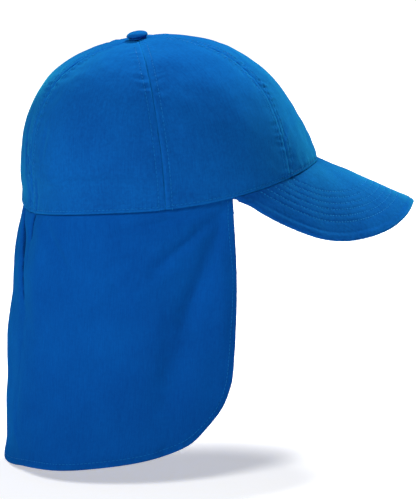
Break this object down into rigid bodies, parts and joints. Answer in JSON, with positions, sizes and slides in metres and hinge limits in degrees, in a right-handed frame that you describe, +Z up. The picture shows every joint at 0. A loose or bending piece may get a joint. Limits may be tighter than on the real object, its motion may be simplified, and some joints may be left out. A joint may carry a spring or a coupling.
{
  "type": "legionnaire cap",
  "caption": "Soft cotton sun cap with a panelled round crown, top button, curved stitched peak and a long hemmed flap that hangs over the neck.",
  "frame": {"origin": "centre of the head opening, on the plane of the crown's rim", "axes": "+Z up; -Y towards the tip of the peak; -X towards the wearer's right"},
  "size_m": [0.1796, 0.2799, 0.2822],
  "materials": {
    "crown_cloth": "fine cotton twill, matt with a slight sheen",
    "button_cloth": "cotton twill pulled tight over a button",
    "peak_cloth": "cotton twill over a stiff board, rows of stitching",
    "flap_cloth": "fine cotton twill, matt, soft folds"
  },
  "bodies": {
    "root": {"crown_front_panel": "crown_cloth", "crown_side_panel_right": "crown_cloth", "crown_side_panel_left": "crown_cloth", "crown_back_panel_right": "crown_cloth", "crown_back_panel_left": "crown_cloth", "top_button": "button_cloth", "peak": "peak_cloth", "neck_flap": "flap_cloth"}
  },
  "joints": []
}
